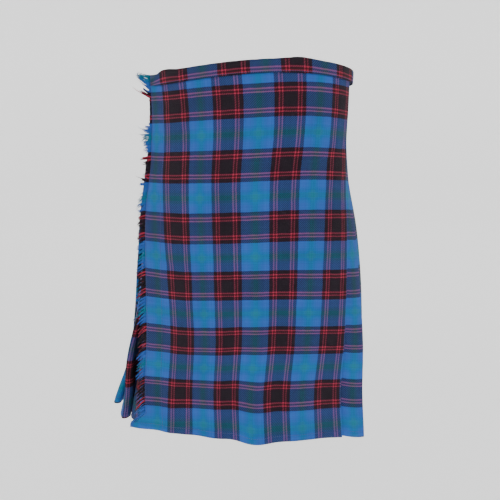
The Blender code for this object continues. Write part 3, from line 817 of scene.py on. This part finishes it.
rows = [under_row(Outline(drop)) for drop in drops_to(UNDER_HEM, PLEAT_ROW_STEP)]
under_apron = sheet_from("under_apron_cloth", *map(np.array, zip(*rows)), CLOTH)
under_apron.data.materials.append(checked_wool)
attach(under_apron, "root")
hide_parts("under_apron")

# ------------------------------------------------------------------- waistband
# A strip cut along the cloth and folded over the raw tops of the pleats and
# aprons, then machined through all of them. Thickest over the pleats.
BAND_CLOTH = 0.0012
BAND_OVER_APRON = (0.00075, 0.0042)  # inset of its middle, and thickness
BAND_OVER_PLEATS = 0.0030  # thicker than their stack
BAND_OVER_UNDER = 0.0040  # thickness
BAND_EASE = 0.070  # of its length, from one thickness to the next
BAND_THICKENS_AFTER, BAND_THINS_BEFORE = 0.004, 0.075  # the over apron's edges
BAND_STEP = 0.005
BAND_WALL_ROWS, BAND_BEND_ROWS = 6, 4
BAND_BEND = 0.0016  # radius of the fold's two bends, at most
BAND_PULL_ALONG = (-0.186, -0.150, -0.090, 0.010, 0.100, 0.190, 1.300)
BAND_PULLED = (14, 13, -2, -11, -9, -6, -6)  # millimetres across
BAND_END_ROUND, BAND_END_REACH = 0.007, 0.040  # its top corner is worn down
# The top edge is worn upwards in two places: along, reach to each side, height.
BAND_RISES = ((-0.141, 0.022, 0.0033), (0.085, 0.022, 0.0026))
BAND_CHECK_BOTTOM = 57.5 / REPEAT_PARTS
PUCKER, PUCKER_BEATS = 0.00025, (410, 173)  # where the stitches pull it in
BELLY = 0.0004

band_top, band_bottom = Outline(0.0), Outline(BAND_HEIGHT)
left_edge = band_top.total - HALF
band_end = left_edge + LAST_LAP - at_drop("fold_depth", 0.0) - UNDER_LAP + UNDER_WIDTH
stack = at_drop("stack", 0.0)
over_pleats = (PLEAT_INSET + PLEAT_CLOTH / 2 + stack / 2, stack + BAND_OVER_PLEATS)
over_under = (PLEAT_INSET + PLEAT_CLOTH + LAYER_GAP + CLOTH / 2 + UNDER_GAP, BAND_OVER_UNDER)
band_rows, band_across = [], []
for s in np.linspace(-HALF, band_end, round((band_end + HALF) / BAND_STEP) + 1):
    behind = ease((s - HALF - BAND_THICKENS_AFTER) / BAND_EASE)
    beyond = ease((s - left_edge + BAND_THINS_BEFORE) / BAND_EASE)
    inset, thick = (a + (b - a) * behind + (c - b) * beyond
                    for a, b, c in zip(BAND_OVER_APRON, over_pleats, over_under))
    round_back = np.clip((s - HALF) / (band_top.total - APRON_WIDTH), 0.0, 1.0)
    low_s = s + (band_bottom.total - band_top.total) * round_back
    half = (thick - BAND_CLOTH) / 2
    bend = min(half, BAND_BEND)
    turn = np.linspace(0, math.pi / 2, BAND_BEND_ROWS)
    top = BAND_CLOTH / 2
    rise = np.linspace(BAND_HEIGHT, top + bend, BAND_WALL_ROWS)
    drop = np.concatenate([rise, top + bend * (1 - np.sin(turn))[1:],
                           top + bend * (1 - np.cos(turn)), rise[::-1][1:]])
    side = np.concatenate([np.full(BAND_WALL_ROWS, -half), -half + bend * (1 - np.cos(turn))[1:],
                           half - bend * (1 - np.sin(turn)), np.full(BAND_WALL_ROWS - 1, half)])
    pucker = PUCKER * math.sin(s * PUCKER_BEATS[0]) * math.sin(s * PUCKER_BEATS[1] + 1)
    belly = BELLY * np.sin(math.pi * np.clip(drop / BAND_HEIGHT, 0, 1))
    at = inset + side + np.sign(side) * (pucker + belly)
    share = (drop / BAND_HEIGHT)[:, None]
    upper, lower = band_top.place(s, at), band_bottom.place(low_s, at)
    point = upper + (lower - upper) * share
    rises = sum(height * math.exp(-(((s - along) / reach) ** 2))
                for along, reach, height in BAND_RISES)
    rounded = BAND_END_ROUND * (1 - ease((s + HALF) / BAND_END_REACH))
    point[:, 2] += (rises - rounded) * (1 - drop / BAND_HEIGHT)
    band_rows.append(point)
    band_across.append(s + HALF + float(curve(s, BAND_PULL_ALONG, BAND_PULLED)) / 1000)
    run = np.concatenate([[0], np.cumsum(np.hypot(np.diff(drop), np.diff(side)))])
band_down = BAND_CHECK_BOTTOM * REPEAT - STRIPES_DOWN_FROM - run
band_points = np.array(band_rows).transpose(1, 0, 2)[::-1]
band_uv = np.meshgrid(band_across, band_down[::-1])
waistband = sheet_from("waistband_cloth", band_points, *band_uv, BAND_CLOTH, even=False)
pressed_wool = wool_twill("checked_wool_pressed", 0.85, 0.03)
waistband.data.materials.append(pressed_wool)
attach(waistband, "root")
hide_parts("waistband")

# ------------------------------------------------------------------- stitching
# Machine stitches in violet polyester thread: down the fringe's root and the
# seam beside it, round the turned-up hems, and along the waistband's lower edge.
STITCH, STITCH_LENGTH = 0.0034, 0.0026  # from one to the next, and what shows of each
STITCH_THICK = 0.0003
STITCH_RAISED = 0.6  # of its thickness
STITCH_RINGS = (0.0, 0.2, 0.8, 1.0)  # of its length, from one end in the cloth to the other
ROOT_SEAM, SIDE_SEAM = 0.003, 0.033  # in from the raw edge
BESIDE = 0.004  # points so far to each side of a seam show which way it faces
HEM_SEAM = LENGTH - HEM_DEPTH + 0.0016
HEM_SEAM_FROM, HEM_SEAM_TO = 0.002, 0.008  # in from the raw edge, and from the folded one
HEM_SEAM_POINTS = 240
BAND_SEAM = 0.6  # of the way from the band's lowest row of points to the next, about 2 mm up
THREAD_TWIST = 1200.0  # waves in a metre
THREAD_TONES = (0.25, 0.75, 0.8, 1.2)

stitch_points, stitch_faces = [], []


def sew(line, outward):
    """Stitches along a line of points, raised on the side that outward gives."""
    line, outward = np.array(line), np.array(outward)
    run = np.concatenate([[0], np.cumsum(np.linalg.norm(np.diff(line, axis=0), axis=1))])
    for start in np.arange(STITCH / 2, run[-1] - STITCH, STITCH):
        at = start + STITCH_LENGTH * np.array(STITCH_RINGS)
        middle = np.stack([np.interp(at, run, column) for column in line.T], axis=-1)
        up = np.array([np.interp(start, run, column) for column in outward.T])
        ahead = middle[3] - middle[0]
        side = np.cross(up, ahead)
        side, up = side / np.linalg.norm(side), up / np.linalg.norm(up)
        first = len(stitch_points)
        corners = ((1, 0), (0, 1), (-1, 0), (0, -1))
        rings = [point + STITCH_THICK * (side * a + up * (b + STITCH_RAISED))
                 for point in middle[1:3] for a, b in corners]
        stitch_points.extend([middle[0], *rings, middle[3]])
        for n in range(4):
            m = (n + 1) % 4
            stitch_faces.append((first, first + 1 + n, first + 1 + m))
            stitch_faces.append((first + 1 + n, first + 5 + n, first + 5 + m, first + 1 + m))
            stitch_faces.append((first + 9, first + 5 + m, first + 5 + n))


def out_of(line):
    """The outward side of a level line of points that runs to +X in front."""
    ahead = np.gradient(np.array(line), axis=0)
    outward = np.stack([ahead[:, 1], -ahead[:, 0], 0 * ahead[:, 0]], axis=-1)
    return outward / np.linalg.norm(ahead, axis=1)[:, None]


for seam in (ROOT_SEAM, SIDE_SEAM):
    line, side = [], []
    for drop in drops_to(LENGTH):
        out, curl = raw_edge(drop)
        along = -HALF + seam - (out if seam == ROOT_SEAM else 0.0) + np.array([-BESIDE, 0.0, BESIDE])
        proud = HEM_PROUD if drop > LENGTH - HEM_DEPTH else 0.0
        across = outline_at(drop).place(along, -curled(curl, along[1]) - proud)
        line.append(across[1])
        side.append(out_of(across)[1])
    sew(line, side)

hem_outline = Outline(HEM_SEAM)
hem_from = -HALF - raw_edge(HEM_SEAM)[0] + HEM_SEAM_FROM
hem_along = np.linspace(hem_from, HALF - HEM_SEAM_TO, HEM_SEAM_POINTS)
hem_line = hem_outline.place(hem_along, -HEM_PROUD)
sew(hem_line, out_of(hem_line))
for width in range(PLEATS // PLEATS_IN_WIDTH):
    hem_line = width_row(hem_outline, width)[0]
    side = out_of(hem_line)
    sew(hem_line + side * PLEAT_CLOTH / 2, side)

outer_wall = band_points[-1] + (band_points[-2] - band_points[-1]) * BAND_SEAM
side = out_of(outer_wall)
sew(outer_wall + side * BAND_CLOTH / 2, side)

mesh = bpy.data.meshes.new("stitching")
mesh.from_pydata([tuple(point) for point in stitch_points], [], stitch_faces)
mesh.shade_smooth()
stitching = put_in("stitching", mesh)

# Spun polyester: a fine twist of light and dark, and a slight gloss.
violet = colour("#413C70")
thread, tree, shader = new_material("violet_thread")
shaded = twisted(tree, violet[:3], THREAD_TWIST, 1.0, THREAD_TONES)
fill(tree, shader, {"Base Color": shaded, "Roughness": 0.6})
stitching.data.materials.append(thread)
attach(stitching, "root")

# ------------------------------------------------------------- floor and light
# A pale studio floor that turns up into the walls all round, soft light from
# in front, above and behind, and the camera level with the waist, looking down.
FLOOR = -1.06  # its height
FLOOR_SIDES = 48
# Radius and height over the floor of each ring, from the flat part outwards.
FLOOR_RINGS = ((3.2, 0.0), (3.7, 0.07), (4.1, 0.30), (4.35, 0.70), (4.45, 1.3), (4.5, 4.5))
# Each lamp's name, place, size and watts. They all point at the kilt's middle.
LAMPS = (
    ("key", (-0.9, -2.2, 1.3), 1.6, 14),
    ("fill", (1.6, -1.9, 0.6), 1.8, 4),
    ("back", (0.3, 2.3, 1.6), 1.8, 14),
)
KILT_MIDDLE = Vector((0, 0, -0.3))
WHITE = (1.0, 1.0, 1.0, 1.0)

bpy.ops.object.select_all(action="DESELECT")
floor_mesh = bmesh.new()
turns = [2 * math.pi * n / FLOOR_SIDES for n in range(FLOOR_SIDES)]
rings = [[floor_mesh.verts.new((radius * math.cos(turn), radius * math.sin(turn), FLOOR + height))
          for turn in turns] for radius, height in FLOOR_RINGS]
centre = floor_mesh.verts.new((0, 0, FLOOR))
for n in range(FLOOR_SIDES):
    m = (n + 1) % FLOOR_SIDES
    floor_mesh.faces.new((centre, rings[0][n], rings[0][m]))
    for inner, outer in zip(rings, rings[1:]):
        floor_mesh.faces.new((inner[n], outer[n], outer[m], inner[m]))
mesh = bpy.data.meshes.new("studio_floor")
floor_mesh.to_mesh(mesh)
floor_mesh.free()
mesh.shade_smooth()
studio_floor = put_in("studio_floor", mesh)

# Matt pale paper. It glows a little, so that it stays pale behind the kilt.
pale, tree, shader = new_material("pale_paper")
fill(tree, shader, {"Base Color": colour("#F4F4F4"), "Roughness": 0.9,
                    "Emission Color": WHITE, "Emission Strength": 0.45})
studio_floor.data.materials.append(pale)

world = bpy.data.worlds.new("studio")
bpy.context.scene.world = world
world.use_nodes = True
fill(world.node_tree, world.node_tree.nodes["Background"], {"Color": WHITE, "Strength": 0.6})
for name, place, size, watts in LAMPS:
    light = bpy.data.lights.new(name, "AREA")
    light.energy = watts
    light.size = size
    lamp = put_in(name, light)
    lamp.location = place
    lamp.rotation_mode = "QUATERNION"
    lamp.rotation_quaternion = (KILT_MIDDLE - Vector(place)).to_track_quat("-Z", "Y")

CAMERA_PLACE = (0, -0.9443, -0.0131)
CAMERA_TILT = 16.88  # degrees below the level
lens = bpy.data.cameras.new("camera")
lens.lens = 38
lens.sensor_width = 36
camera = put_in("camera", lens)
camera.location = CAMERA_PLACE
camera.rotation_euler = (math.radians(90 - CAMERA_TILT), 0, 0)
bpy.context.scene.camera = camera
